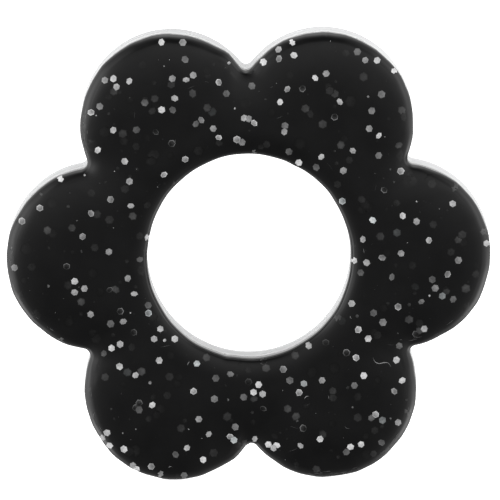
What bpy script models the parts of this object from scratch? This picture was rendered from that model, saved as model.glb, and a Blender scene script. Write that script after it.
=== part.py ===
"""Flower-ring enamel pin with two butterfly clutches, in metres, +Z up.

The pin stands upright as it is worn. Its front faces -Y, and the back of its plate lies in the plane y = 0,
with the origin at the flower's centre. A pale translucent plate carries a black ground coat and a domed
glitter resin. Two nail posts on round pads are glued to the back, one behind each side petal. A butterfly
clutch slides on each post: a rolled-rim cap, a spring plate that spins in the rim, and two hinged wings that
open the jaws.
"""
import math

import bmesh
import bpy

MM = 0.001

# Flower outline, in millimetres: six round petals, filleted where they meet, around a round hole. The whole
# outline is then made slightly taller.
PETALS = 6
PETAL_R = 6.0
PETAL_CENTRE_R = 10.0
CLEFT_R = 0.46
HOLE_R = 6.72
TALLNESS = 1.012
PETAL_SEGMENTS = 16
CLEFT_SEGMENTS = 3

# Layers, from the plate's back towards the front. Neighbours keep a glue line open between them.
PLATE_THICK = 3.0
GROUND_THICK = 0.15
RESIN_THICK = 0.95
GLUE_LINE = 0.03

# The resin's front edges are quarter ellipses, as (width across the face, depth along Y).
OUTER_SHOULDER = (0.9, 0.55)
HOLE_SHOULDER = (0.45, 0.3)
SHOULDER_SEGMENTS = 3

# Posts, behind the side petals.
POST_X = 11.4
POST_Z = -0.4
POST_R = 0.55
POST_TIP_Y = 7.5
POST_POINT_R = 0.08
POST_POINT_LENGTH = 0.8
GROOVE_R = 0.42
GROOVE_FROM_TIP = 1.3
GROOVE_HALF_LENGTH = 0.2
GROOVE_TAPER = 0.1
POST_HEAD_R = 1.25
POST_HEAD_THICK = 0.16
PAD_R = 4.0
PAD_THICK = 0.4
PAD_EDGE = 0.1
PAD_HOLE_R = 0.6
PAD_RECESS_R = 1.3
PAD_RECESS_DEPTH = 0.2
GLUE_R = 3.6
GLUE_THICK = 0.1

# Butterfly clutches. The cap rests on the fabric, which lies on the pad.
FABRIC_THICK = 2.2
WING_LEAN = math.radians(15)
CAP_R = 4.4
CAP_HOLE_R = 0.72
CAP_SHEET = 0.25
CAP_HEIGHT = 0.9
CAP_EDGE_R = 0.25
CAP_EDGE_STEPS = 3
RIM_INNER_R = 3.8
NUB_RING = (2.3, 2.9)
NUB_HEIGHT = 0.12
NUB_SLOPE = 0.15
NUBS = 4
SPRING_SHEET = 0.22
SPRING_R = 3.95
SPRING_HOLE_R = 0.65
SPRING_PLAY = 0.08
LIP_HALF_WIDTH = 1.3
LIP_HEIGHT = 0.45
HINGE_OUT = 1.16
HINGE_RISE = 0.55

# A wing is one bent strip, drawn as (out from the post, rise from the fabric) about its hinge axis. It starts
# at the jaw's tip, beside the post, and heads straight away from the fabric. Each bend is (length, turn in
# degrees, steps). The root steps out over the lip, and the flare is the wing that the fingers pinch.
JAW_START = (-0.44, -0.37)
ROOT_BENDS = ((0.22, 0, 1), (0.28, -80, 3), (0.10, 0, 1), (0.25, 62, 3))
FLARE_LENGTH = 5.5
FLARE_TURN = -42
FLARE_STEPS = 11
JAW_HALF_WIDTH = 1.3
WING_HALF_WIDTH = 2.2
WING_CORNER_R = 1.6

# Heights along Y that follow from the layers.
PLATE_FRONT_Y = -PLATE_THICK
GROUND_BACK_Y = PLATE_FRONT_Y - GLUE_LINE
GROUND_FRONT_Y = GROUND_BACK_Y - GROUND_THICK
RESIN_BACK_Y = GROUND_FRONT_Y - GLUE_LINE
RESIN_FRONT_Y = RESIN_BACK_Y - RESIN_THICK
GLUE_FRONT_Y = GLUE_LINE
PAD_FRONT_Y = GLUE_FRONT_Y + GLUE_THICK + GLUE_LINE
PAD_BACK_Y = PAD_FRONT_Y + PAD_THICK
CAP_FRONT_Y = PAD_BACK_Y + FABRIC_THICK
SPRING_FRONT_Y = CAP_FRONT_Y + CAP_SHEET + SPRING_PLAY
SPRING_BACK_Y = SPRING_FRONT_Y + SPRING_SHEET
HINGE_Y = SPRING_BACK_Y + HINGE_RISE
ROOT_LENGTH = sum(length for length, turn, steps in ROOT_BENDS)

# Where the fillet between two petals sits, and how far each petal's arc runs to either side of its tip.
PETAL_STEP = 2 * math.pi / PETALS
HALF_STEP = PETAL_STEP / 2
CLEFT_CENTRE_R = PETAL_CENTRE_R * math.cos(HALF_STEP) + math.sqrt(
    (PETAL_R + CLEFT_R) ** 2 - (PETAL_CENTRE_R * math.sin(HALF_STEP)) ** 2)
PETAL_HALF_ARC = math.atan2(
    CLEFT_CENTRE_R * math.sin(HALF_STEP),
    CLEFT_CENTRE_R * math.cos(HALF_STEP) - PETAL_CENTRE_R)

TURN_SEGMENTS = 36
POST_SEGMENTS = 18
SMOOTH_ANGLE = math.radians(35)


def clear_scene():
    """Remove the objects of the scene that this script starts in."""
    for old in list(bpy.data.objects):
        bpy.data.objects.remove(old, do_unlink=True)


def make_material(name, colour, roughness, metallic):
    """One Principled material."""
    material = bpy.data.materials.new(name)
    material.use_nodes = True
    shader = material.node_tree.nodes["Principled BSDF"]
    shader.inputs["Base Color"].default_value = (*colour, 1.0)
    shader.inputs["Roughness"].default_value = roughness
    shader.inputs["Metallic"].default_value = metallic
    return material


def lofted_bmesh(loops, joins_ends):
    """Skin a row of matching loops, in millimetres. The ends are capped, or joined to make a ring."""
    bm = bmesh.new()
    rows = [[bm.verts.new([value * MM for value in point]) for point in loop] for loop in loops]
    pairs = list(zip(rows, rows[1:]))
    if joins_ends:
        pairs.append((rows[-1], rows[0]))
    else:
        bm.faces.new(rows[0])
        bm.faces.new(rows[-1])
    for first, second in pairs:
        for i in range(len(first)):
            j = (i + 1) % len(first)
            bm.faces.new((first[i], first[j], second[j], second[i]))
    bmesh.ops.recalc_face_normals(bm, faces=bm.faces)
    return bm


def finished_mesh(name, bm, smooth):
    """Turn a bmesh into a mesh, smooth except at its real edges when asked."""
    mesh = bpy.data.meshes.new(name)
    bm.to_mesh(mesh)
    bm.free()
    if smooth:
        mesh.shade_smooth()
        mesh.set_sharp_from_angle(angle=SMOOTH_ANGLE)
    return mesh


def add_object(name, mesh, material, parent=None, location=(0, 0, 0), turn_y=0.0):
    """Link one named object, placed in millimetres under its parent."""
    piece = bpy.data.objects.new(name, mesh)
    bpy.context.scene.collection.objects.link(piece)
    piece.data.materials.clear()
    piece.data.materials.append(material)
    piece.parent = parent
    piece.location = [value * MM for value in location]
    piece.rotation_euler = (0, turn_y, 0)
    return piece


def add_empty(name, location, turn_y):
    """An axis marker, placed in millimetres."""
    marker = bpy.data.objects.new(name, None)
    bpy.context.scene.collection.objects.link(marker)
    marker.empty_display_size = MM
    marker.location = [value * MM for value in location]
    marker.rotation_euler = (0, turn_y, 0)
    return marker


def arc(centre, radius, start, end, steps):
    """Points along an arc, without its last one."""
    points = []
    for i in range(steps):
        angle = start + (end - start) * i / steps
        points.append((centre[0] + radius * math.cos(angle), centre[1] + radius * math.sin(angle)))
    return points


def rounded(centre, radius, start, end, steps):
    """Points along an arc between two angles in degrees, with both ends."""
    start = math.radians(start)
    end = math.radians(end)
    last = (centre[0] + radius * math.cos(end), centre[1] + radius * math.sin(end))
    return arc(centre, radius, start, end, steps) + [last]


def on_circle(radius, angle):
    """A point at a radius and an angle around the flower's centre."""
    return radius * math.cos(angle), radius * math.sin(angle)


def flower_outline(inset):
    """The flower's outer edge as (x, z), moved in by inset. Every inset gives matching points."""
    points = []
    for petal in range(PETALS):
        tip = petal * PETAL_STEP
        petal_centre = on_circle(PETAL_CENTRE_R, tip)
        petal_start = tip - PETAL_HALF_ARC
        petal_end = tip + PETAL_HALF_ARC
        points += arc(petal_centre, PETAL_R - inset, petal_start, petal_end, PETAL_SEGMENTS)
        cleft_centre = on_circle(CLEFT_CENTRE_R, tip + HALF_STEP)
        cleft_start = petal_end + math.pi
        cleft_end = petal_start + PETAL_STEP + math.pi
        points += arc(cleft_centre, CLEFT_R + inset, cleft_start, cleft_end, CLEFT_SEGMENTS)
    return points


def hole_outline(inset):
    """The hole's edge as (x, z), moved into the material by inset, in line with the outer edge's points."""
    return [on_circle(HOLE_R + inset, math.atan2(z, x)) for x, z in flower_outline(0)]


def at_depth(outline, y):
    """Stand an (x, z) outline up at one depth."""
    return [(x, y, z) for x, z in outline]


def petal_loop(outline, y):
    """Stand one of the flower's own outlines up at one depth, at its full height."""
    return [(x, y, z * TALLNESS) for x, z in outline]


def flat_layer(back_y, front_y):
    """A flower-shaped layer with square edges."""
    loops = [
        petal_loop(flower_outline(0), back_y),
        petal_loop(flower_outline(0), front_y),
        petal_loop(hole_outline(0), front_y),
        petal_loop(hole_outline(0), back_y),
    ]
    return lofted_bmesh(loops, True)


def shoulder(size, front_y):
    """A rounded front edge as (inset, y), from the side wall to the front face."""
    width, depth = size
    points = []
    for i in range(SHOULDER_SEGMENTS + 1):
        angle = math.pi / 2 * i / SHOULDER_SEGMENTS
        points.append((width * (1 - math.cos(angle)), front_y + depth * (1 - math.sin(angle))))
    return points


def domed_layer(back_y, front_y):
    """A flower-shaped layer whose front edges are rounded, widely outside and tightly around the hole."""
    loops = [petal_loop(flower_outline(0), back_y)]
    loops += [petal_loop(flower_outline(inset), y) for inset, y in shoulder(OUTER_SHOULDER, front_y)]
    loops += [petal_loop(hole_outline(inset), y) for inset, y in reversed(shoulder(HOLE_SHOULDER, front_y))]
    loops.append(petal_loop(hole_outline(0), back_y))
    return lofted_bmesh(loops, True)


def turned_bmesh(section, segments, joins_ends):
    """Turn a section of (radius, y) points about the Y axis."""
    loops = []
    for radius, y in section:
        outline = arc((0, 0), radius, 0, 2 * math.pi, segments)
        loops.append(at_depth(outline, y))
    return lofted_bmesh(loops, joins_ends)


def glue_section():
    """The adhesive under a pad, a plain disc."""
    return [(GLUE_R, GLUE_FRONT_Y), (GLUE_R, GLUE_FRONT_Y + GLUE_THICK)]


def pad_section():
    """A pad with a through hole for the post and a recess for the post's head."""
    recess_y = PAD_FRONT_Y + PAD_RECESS_DEPTH
    return [
        (PAD_HOLE_R, recess_y),
        (PAD_RECESS_R, recess_y),
        (PAD_RECESS_R, PAD_FRONT_Y),
        (PAD_R, PAD_FRONT_Y),
        (PAD_R, PAD_BACK_Y - PAD_EDGE),
        (PAD_R - PAD_EDGE, PAD_BACK_Y),
        (PAD_HOLE_R, PAD_BACK_Y),
    ]


def post_section():
    """A nail: flat head, straight shank, grip groove and point."""
    head_y = PAD_FRONT_Y + POST_HEAD_THICK
    groove_low_y = POST_TIP_Y - GROOVE_FROM_TIP - GROOVE_HALF_LENGTH
    groove_high_y = POST_TIP_Y - GROOVE_FROM_TIP + GROOVE_HALF_LENGTH
    return [
        (POST_HEAD_R, PAD_FRONT_Y),
        (POST_HEAD_R, head_y),
        (POST_R, head_y),
        (POST_R, groove_low_y - GROOVE_TAPER),
        (GROOVE_R, groove_low_y),
        (GROOVE_R, groove_high_y),
        (POST_R, groove_high_y + GROOVE_TAPER),
        (POST_R, POST_TIP_Y - POST_POINT_LENGTH),
        (POST_POINT_R, POST_TIP_Y),
    ]


def cap_section():
    """A clutch cap: a dished disc whose rim is rolled in over the spring plate."""
    floor_y = CAP_FRONT_Y + CAP_SHEET
    top_y = CAP_FRONT_Y + CAP_HEIGHT
    under_rim_y = SPRING_BACK_Y + SPRING_PLAY
    wall_r = CAP_R - CAP_SHEET
    edge_r = CAP_R - CAP_EDGE_R
    tip_r = (top_y - under_rim_y) / 2
    tip_centre = (RIM_INNER_R + tip_r, under_rim_y + tip_r)
    section = [(CAP_HOLE_R, CAP_FRONT_Y), (NUB_RING[0], CAP_FRONT_Y), (NUB_RING[1], CAP_FRONT_Y)]
    section += rounded((edge_r, CAP_FRONT_Y + CAP_EDGE_R), CAP_EDGE_R, -90, 0, CAP_EDGE_STEPS)
    section += rounded((edge_r, top_y - CAP_EDGE_R), CAP_EDGE_R, 0, 90, CAP_EDGE_STEPS)
    section += rounded(tip_centre, tip_r, 90, 270, CAP_EDGE_STEPS)
    section += [(wall_r, under_rim_y), (wall_r, floor_y), (CAP_HOLE_R, floor_y)]
    return section


def raise_nubs(bm):
    """Push small pointed nubs out of the cap's front, to bite the fabric."""
    sectors_between_nubs = TURN_SEGMENTS // NUBS
    chosen = []
    bm.normal_update()
    for face in bm.faces:
        centre = face.calc_center_median() / MM
        radius = math.hypot(centre.x, centre.z)
        sector = int(math.degrees(math.atan2(centre.z, centre.x)) % 360 / (360 / TURN_SEGMENTS))
        in_ring = face.normal.y < -0.5 and NUB_RING[0] < radius < NUB_RING[1]
        if in_ring and sector % sectors_between_nubs == 0:
            chosen.append(face)
    bmesh.ops.inset_individual(bm, faces=chosen, thickness=NUB_SLOPE * MM)
    for face in chosen:
        for vert in face.verts:
            vert.co.y -= NUB_HEIGHT * MM


def clutch_cap_mesh():
    """One clutch cap with its nubs."""
    bm = turned_bmesh(cap_section(), TURN_SEGMENTS, True)
    raise_nubs(bm)
    return finished_mesh("clutch_cap", bm, True)


def spring_plate_section():
    """The spring plate's disc, with a running hole for the post."""
    return [
        (SPRING_HOLE_R, SPRING_FRONT_Y),
        (SPRING_R, SPRING_FRONT_Y),
        (SPRING_R, SPRING_BACK_Y),
        (SPRING_HOLE_R, SPRING_BACK_Y),
    ]


def lip_bmesh(side):
    """An upturned lip that a wing rocks on, sunk halfway into the plate so that they can be joined."""
    half = LIP_HALF_WIDTH
    inner = side * (HINGE_OUT - SPRING_SHEET / 2)
    outer = side * (HINGE_OUT + SPRING_SHEET / 2)
    corners = [(-half, inner), (half, inner), (half, outer), (-half, outer)]
    heights = (SPRING_BACK_Y - SPRING_SHEET / 2, SPRING_BACK_Y + LIP_HEIGHT)
    return lofted_bmesh([at_depth(corners, y) for y in heights], False)


def join_to(piece, helper):
    """Unite a piece with a hidden helper object."""
    helper.hide_render = True
    helper.display_type = "WIRE"
    union = piece.modifiers.new("join " + helper.name, "BOOLEAN")
    union.operation = "UNION"
    union.object = helper


def add_spring_plate(name, material, axis):
    """A spring plate: a disc with two upturned lips."""
    disc = turned_bmesh(spring_plate_section(), TURN_SEGMENTS, True)
    plate = add_object(name, finished_mesh(name, disc, True), material, axis)
    for label, side in (("up", 1), ("down", -1)):
        lip_name = name + "_lip_" + label
        lip = add_object(lip_name, finished_mesh(lip_name, lip_bmesh(side), False), material, axis)
        join_to(plate, lip)
    return plate


def wing_path():
    """The bent strip's centre line as (out, rise, heading, distance from the jaw's tip)."""
    out, rise = JAW_START
    heading = math.pi / 2
    travelled = 0.0
    stations = [(out, rise, heading, travelled)]
    for length, turn, steps in (*ROOT_BENDS, (FLARE_LENGTH, FLARE_TURN, FLARE_STEPS)):
        stride = length / steps
        half_turn = math.radians(turn) / steps / 2
        for _ in range(steps):
            heading += half_turn
            out += stride * math.cos(heading)
            rise += stride * math.sin(heading)
            travelled += stride
            heading += half_turn
            stations.append((out, rise, heading, travelled))
    return stations


def wing_half_width(travelled):
    """Half the wing's width: it widens up to the middle of the flare, and its tip has round corners."""
    along = max(0.0, travelled - ROOT_LENGTH)
    widening = min(1.0, along / (FLARE_LENGTH / 2))
    half = JAW_HALF_WIDTH + (WING_HALF_WIDTH - JAW_HALF_WIDTH) * math.sin(widening * math.pi / 2)
    past_corner = max(0.0, along - (FLARE_LENGTH - WING_CORNER_R))
    return half - WING_CORNER_R + math.sqrt(max(0.0, WING_CORNER_R ** 2 - past_corner ** 2))


def wing_mesh():
    """One wing with its jaw, about its hinge axis, which runs along X through the origin."""
    half_sheet = SPRING_SHEET / 2
    loops = []
    for out, rise, heading, travelled in wing_path():
        half = wing_half_width(travelled)
        side_out = -math.sin(heading) * half_sheet
        side_rise = math.cos(heading) * half_sheet
        upper = (rise + side_rise, out + side_out)
        lower = (rise - side_rise, out - side_out)
        loops.append([(-half, *upper), (half, *upper), (half, *lower), (-half, *lower)])
    return finished_mesh("wing", lofted_bmesh(loops, False), True)


def add_front(acrylic, ground, resin):
    """The three flower-shaped layers."""
    plate = flat_layer(0, PLATE_FRONT_Y)
    add_object("base_plate", finished_mesh("base_plate", plate, True), acrylic)
    coat = flat_layer(GROUND_BACK_Y, GROUND_FRONT_Y)
    add_object("black_ground", finished_mesh("black_ground", coat, True), ground)
    dome = domed_layer(RESIN_BACK_Y, RESIN_FRONT_Y)
    add_object("glitter_resin", finished_mesh("glitter_resin", dome, True), resin)


def add_post(side, axis, glue, steel):
    """The glue, pad and nail post of one side."""
    glue_disc = turned_bmesh(glue_section(), TURN_SEGMENTS, False)
    add_object(side + "_pad_glue", finished_mesh(side + "_pad_glue", glue_disc, True), glue, axis)
    pad = turned_bmesh(pad_section(), TURN_SEGMENTS, True)
    add_object(side + "_pad", finished_mesh(side + "_pad", pad, True), steel, axis)
    post = turned_bmesh(post_section(), POST_SEGMENTS, False)
    add_object(side + "_post", finished_mesh(side + "_post", post, True), steel, axis)


def add_clutch(side, axis, cap_metal, spring_metal):
    """The cap, spring plate and two wings of one side."""
    add_object(side + "_clutch_cap", clutch_cap_mesh(), cap_metal, axis)
    add_spring_plate(side + "_spring_plate", spring_metal, axis)
    upper = (0, HINGE_Y, HINGE_OUT)
    add_object(side + "_wing_upper", wing_mesh(), spring_metal, axis, upper)
    lower = (0, HINGE_Y, -HINGE_OUT)
    add_object(side + "_wing_lower", wing_mesh(), spring_metal, axis, lower, math.pi)


def main():
    """Build the whole pin."""
    clear_scene()
    acrylic = make_material("pale_acrylic", (0.86, 0.87, 0.88), 0.15, 0.0)
    ground = make_material("black_ground", (0.004, 0.004, 0.005), 0.4, 0.0)
    resin = make_material("glitter_resin", (0.012, 0.012, 0.014), 0.06, 0.0)
    glue = make_material("clear_glue", (0.75, 0.74, 0.68), 0.3, 0.0)
    steel = make_material("plated_steel", (0.62, 0.62, 0.63), 0.25, 1.0)
    cap_metal = make_material("plated_brass", (0.66, 0.65, 0.63), 0.22, 1.0)
    spring_metal = make_material("spring_brass", (0.64, 0.63, 0.61), 0.28, 1.0)
    add_front(acrylic, ground, resin)
    for side, direction in (("left", -1), ("right", 1)):
        axis = add_empty(side + "_post_axis", (direction * POST_X, 0, POST_Z), -direction * WING_LEAN)
        add_post(side, axis, glue, steel)
        add_clutch(side, axis, cap_metal, spring_metal)


main()
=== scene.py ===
"""Looks for the flower-ring enamel pin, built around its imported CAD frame.

The frame is in metres. Shapes are worked out here in millimetres, in the same axes: the pin stands upright,
its front faces -Y, +Z is up, and the origin is the flower's centre on the plate's back.
"""

import math
import random
from typing import NamedTuple

import bmesh
import bpy
from mathutils import Matrix, Vector


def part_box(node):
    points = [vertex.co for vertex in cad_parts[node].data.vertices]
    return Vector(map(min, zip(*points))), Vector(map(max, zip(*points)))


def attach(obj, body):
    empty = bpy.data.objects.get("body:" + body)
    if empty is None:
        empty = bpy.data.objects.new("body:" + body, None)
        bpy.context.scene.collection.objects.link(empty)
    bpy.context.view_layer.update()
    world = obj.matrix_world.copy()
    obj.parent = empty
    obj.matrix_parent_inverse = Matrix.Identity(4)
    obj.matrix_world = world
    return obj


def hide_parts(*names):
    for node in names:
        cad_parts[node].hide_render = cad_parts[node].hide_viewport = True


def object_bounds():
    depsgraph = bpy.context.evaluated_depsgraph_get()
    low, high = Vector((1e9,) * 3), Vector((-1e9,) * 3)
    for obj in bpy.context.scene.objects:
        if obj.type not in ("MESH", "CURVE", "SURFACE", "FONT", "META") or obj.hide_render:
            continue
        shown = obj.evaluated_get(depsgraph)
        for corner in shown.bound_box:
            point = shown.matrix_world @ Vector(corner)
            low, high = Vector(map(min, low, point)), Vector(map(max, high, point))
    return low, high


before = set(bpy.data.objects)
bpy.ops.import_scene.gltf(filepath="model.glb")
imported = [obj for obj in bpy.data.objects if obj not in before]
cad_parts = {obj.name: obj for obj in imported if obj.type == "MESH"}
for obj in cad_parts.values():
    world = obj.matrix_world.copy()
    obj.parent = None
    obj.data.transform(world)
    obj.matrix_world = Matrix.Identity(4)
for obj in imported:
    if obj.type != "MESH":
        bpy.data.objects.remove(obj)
cad_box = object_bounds()

MM = 0.001
FULL_TURN = 2 * math.pi

# The flower's outline: six round petals, filleted where they meet, around a round hole. It is worked out
# true, and the finished pieces are then made slightly taller.
PETALS = 6
PETAL_R = 6.0
PETAL_CENTRE_R = 10.0
CLEFT_R = 0.46
HOLE_R = 6.72
TALLNESS = 1.012
PETAL_SEGMENTS = 44
CLEFT_SEGMENTS = 10
PETAL_STEP = FULL_TURN / PETALS
HALF_STEP = PETAL_STEP / 2
CLEFT_CENTRE_R = PETAL_CENTRE_R * math.cos(HALF_STEP) + math.sqrt(
    (PETAL_R + CLEFT_R) ** 2 - (PETAL_CENTRE_R * math.sin(HALF_STEP)) ** 2)
PETAL_HALF_ARC = math.atan2(
    CLEFT_CENTRE_R * math.sin(HALF_STEP),
    CLEFT_CENTRE_R * math.cos(HALF_STEP) - PETAL_CENTRE_R)

# The resin's front: quarter-ellipse shoulders (width across the face, depth), then a short and a long crown
# that flatten out (height, width across the face). The dome stands a little above the CAD's flat face. Beside
# a cleft the shoulder is narrower (share, and reach in degrees).
OUTER_SHOULDER = (0.59, 0.355)
HOLE_SHOULDER = (0.27, 0.27)
OUTER_CROWNS = ((0.10, 1.1), (0.32, 4.7))
HOLE_CROWNS = ((0.04, 0.54), (0.175, 1.9))
DOME_RISE = 0.08
CLEFT_PINCH = (1.2, 6.0)
OUTER_SHOULDER_ROWS = 16
HOLE_SHOULDER_ROWS = 9
FACE_ROWS = 34

# The poured edges aren't true. Each has waves as (turns around the flower, phase, depth), then bumps as
# (place in degrees, width in degrees, depth). A positive depth eats into the resin.
OUTER_EDGE = (
    ((5, 0.6, 0.016), (11, 2.1, 0.016), (23, 4.0, 0.018), (47, 1.3, 0.012), (83, 3.3, 0.007)),
    ((95.0, 1.6, -0.09), (70.0, 2.0, -0.05), (-95.0, 2.0, -0.05), (-28.0, 2.2, -0.06), (-35.0, 2.0, 0.05)),
)
HOLE_EDGE = (
    ((1, 0.3, 0.05), (3, 2.5, 0.016), (8, 0.4, 0.012), (19, 5.1, 0.008)),
    ((38.0, 5.0, 0.05), (63.0, 4.0, -0.05), (-104.0, 2.5, 0.04)),
)

# The plate's cut walls: rows of shallow cutting lines, a small chamfer, and nicks in the back edge. A nick's
# width is an angle around the flower, in radians.
WALL_ROWS = 14
CHAMFER = 0.05
CUT_DEPTH = 0.011
NICK_COUNT = 16
NICK_WIDTHS = (0.006, 0.02)
NICK_DEPTHS = (0.04, 0.11)

# Glitter and marks: thin closed tablets that stand a hair above the resin and reach down into it.
FLAKE_R = 0.236
TABLET_DEPTH = 0.02
MARK_LIFT = 0.016
MARK_HALF_WIDTH = 0.012

# Hardware sizes that the frame's boxes don't give.
SHEET = 0.25
SPRING_SHEET = 0.22
POST_R = 0.55
PAD_R = 4.0
CAP_R = 4.4
SPRING_R = 3.95
LIP_OFFSET = 1.16
LIP_HALF_WIDTH = 1.3
HINGE_ABOVE_LIP = 0.1
CLUTCH_TURN = math.radians(15)
POST_SEGMENTS = 40
TURN_SEGMENTS = 72
SMOOTH_ANGLE = math.radians(38)

# Camera: almost straight on and slightly from above, far away and with a very long lens.
CAMERA_ELEVATION = math.radians(7.67)
CAMERA_ROLL = math.radians(-0.8)
CAMERA_DISTANCE = 1000.0
SENSOR = 36.0
VIEW_WIDTH = 33.05
AIM_RIGHT = 0.09
AIM_UP = 0.445


# -------- the CAD's own planes


def box_y(name):
    """A CAD node's lowest and highest y, in millimetres."""
    low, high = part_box(name)
    return low[1] / MM, high[1] / MM


PLATE_FRONT_Y, PLATE_BACK_Y = box_y("base_plate")
GROUND_FRONT_Y = box_y("black_ground")[0]
RESIN_FRONT_Y, RESIN_BACK_Y = box_y("glitter_resin")


# -------- meshes


def finished_piece(name, bm, material, body, replaced=None, tallness=1.0):
    """Make a smooth-shaded piece from a bmesh in millimetres, put it on its body, and hide the CAD part it
    replaces.
    """
    bmesh.ops.recalc_face_normals(bm, faces=bm.faces)
    bmesh.ops.scale(bm, vec=(MM, MM, MM * tallness), verts=bm.verts)
    mesh = bpy.data.meshes.new(name)
    bm.to_mesh(mesh)
    bm.free()
    mesh.materials.append(material)
    mesh.shade_smooth()
    mesh.set_sharp_from_angle(angle=SMOOTH_ANGLE)
    piece = bpy.data.objects.new(name, mesh)
    bpy.context.scene.collection.objects.link(piece)
    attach(piece, body)
    if replaced:
        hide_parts(replaced)


def bridge(bm, first, second):
    """Join two matching closed rows of vertices with faces."""
    for i in range(len(first)):
        j = (i + 1) % len(first)
        bm.faces.new((first[i], first[j], second[j], second[i]))


def skin(bm, loops, joins_ends):
    """Skin a row of matching closed loops of points. The ends are capped, or joined to make a ring."""
    rows = [[bm.verts.new(point) for point in loop] for loop in loops]
    pairs = list(zip(rows, rows[1:]))
    if joins_ends:
        pairs.append((rows[-1], rows[0]))
    else:
        bm.faces.new(rows[0])
        bm.faces.new(rows[-1])
    for first, second in pairs:
        bridge(bm, first, second)


def rounded(centre, radius, start, end, steps):
    """Points along an arc between two angles in degrees, with both ends."""
    points = []
    for i in range(steps + 1):
        angle = math.radians(start + (end - start) * i / steps)
        points.append((centre[0] + radius * math.cos(angle), centre[1] + radius * math.sin(angle)))
    return points


def turned(section, segments, joins_ends=True, wobble=None):
    """Turn a section of (radius, y) points about the Y axis. wobble(angle, radius) gives a new radius."""
    bm = bmesh.new()
    loops = []
    for radius, y in section:
        loop = []
        for i in range(segments):
            angle = FULL_TURN * i / segments
            r = wobble(angle, radius) if wobble else radius
            loop.append((r * math.cos(angle), y, r * math.sin(angle)))
        loops.append(loop)
    skin(bm, loops, joins_ends)
    return bm


def placed(bm, x, z, turn):
    """Turn a bmesh about Y and move it to its place."""
    matrix = Matrix.Translation((x, 0.0, z)) @ Matrix.Rotation(turn, 4, "Y")
    bmesh.ops.transform(bm, matrix=matrix, verts=bm.verts)
    return bm


# -------- the flower


def on_circle(radius, angle):
    """A point at a radius and an angle around the flower's centre."""
    return radius * math.cos(angle), radius * math.sin(angle)


def edge_rays():
    """The outline as rays (centre, radius, growth, angle). A point inset by d lies at radius + growth * d."""
    rays = []
    for petal in range(PETALS):
        tip = petal * PETAL_STEP
        petal_centre = on_circle(PETAL_CENTRE_R, tip)
        for i in range(PETAL_SEGMENTS):
            angle = tip - PETAL_HALF_ARC + 2 * PETAL_HALF_ARC * i / PETAL_SEGMENTS
            rays.append((petal_centre, PETAL_R, -1, angle))
        cleft_centre = on_circle(CLEFT_CENTRE_R, tip + HALF_STEP)
        cleft_start = tip + PETAL_HALF_ARC + math.pi
        cleft_sweep = PETAL_STEP - 2 * PETAL_HALF_ARC
        for i in range(CLEFT_SEGMENTS):
            angle = cleft_start + cleft_sweep * i / CLEFT_SEGMENTS
            rays.append((cleft_centre, CLEFT_R, 1, angle))
    return rays


RAYS = edge_rays()


def ray_point(ray, inset):
    """The point of one ray at an inset from the true outline."""
    (x, z), radius, growth, angle = ray
    reach = radius + growth * inset
    return x + reach * math.cos(angle), z + reach * math.sin(angle)


def unevenness(x, z, edge):
    """How far a poured edge lies inside its true line, at a point's angle around the flower."""
    waves, bumps = edge
    angle = math.atan2(z, x)
    depth = sum(size * math.sin(turns * angle + phase) for turns, phase, size in waves)
    for place, width, height in bumps:
        away = math.degrees(math.remainder(angle - math.radians(place), FULL_TURN))
        depth += height * math.exp(-(away / width) ** 2)
    return depth


def outer_distance(x, z):
    """Distance from the true outer outline, inwards."""
    angle = math.atan2(z, x)
    tip = round(angle / PETAL_STEP) * PETAL_STEP
    centre = on_circle(PETAL_CENTRE_R, tip)
    off_x, off_z = x - centre[0], z - centre[1]
    bearing = abs(math.remainder(math.atan2(off_z, off_x) - tip, FULL_TURN))
    if bearing <= PETAL_HALF_ARC:
        return PETAL_R - math.hypot(off_x, off_z)
    side = 1 if math.remainder(angle - tip, FULL_TURN) >= 0 else -1
    cleft = on_circle(CLEFT_CENTRE_R, tip + side * HALF_STEP)
    return math.hypot(x - cleft[0], z - cleft[1]) - CLEFT_R


def shoulder_drop(distance, size):
    """How far a quarter-ellipse shoulder lies behind the face."""
    width, depth = size
    if distance >= width:
        return 0.0
    reach = 1 - max(0.0, distance) / width
    return depth * (1 - math.sqrt(max(0.0, 1 - reach ** 2)))


def crown_drop(distance, crowns):
    """How far the crowns have fallen at a distance from the edge."""
    return sum(height * max(0.0, 1 - max(0.0, distance) / width) ** 3 for height, width in crowns)


def cleft_pinch(x, z):
    """How many times narrower the outer shoulder is at a point's angle than along a petal."""
    share, reach = CLEFT_PINCH
    away = math.degrees(math.remainder(math.atan2(z, x) - HALF_STEP, PETAL_STEP))
    return 1 + share * math.exp(-(away / reach) ** 2)


def dome_y(x, z, from_outer, from_hole):
    """The resin's front surface at a point, with its distances to the resin's own outer and hole edges."""
    drop = shoulder_drop(from_outer * cleft_pinch(x, z), OUTER_SHOULDER)
    drop += crown_drop(from_outer, OUTER_CROWNS)
    drop += shoulder_drop(from_hole, HOLE_SHOULDER) + crown_drop(from_hole, HOLE_CROWNS)
    return RESIN_FRONT_Y - DOME_RISE + drop


def edge_gaps(x, z):
    """Distances of a point from the resin's own, uneven outer and hole edges."""
    from_outer = outer_distance(x, z) - unevenness(x, z, OUTER_EDGE)
    from_hole = math.hypot(x, z) - HOLE_R - unevenness(x, z, HOLE_EDGE)
    return from_outer, from_hole


def uneven_outer(ray, inset):
    """A ray's point at an inset from the uneven outer edge."""
    x, z = ray_point(ray, 0)
    return ray_point(ray, inset + unevenness(x, z, OUTER_EDGE))


def uneven_hole(ray, inset):
    """The matching point at an inset from the uneven hole edge."""
    x, z = ray_point(ray, 0)
    return on_circle(HOLE_R + inset + unevenness(x, z, HOLE_EDGE), math.atan2(z, x))


def outer_points(inset):
    """The whole outline at an inset from the uneven outer edge."""
    return [uneven_outer(ray, inset) for ray in RAYS]


def hole_points(inset):
    """The matching points around the hole."""
    return [uneven_hole(ray, inset) for ray in RAYS]


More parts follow.
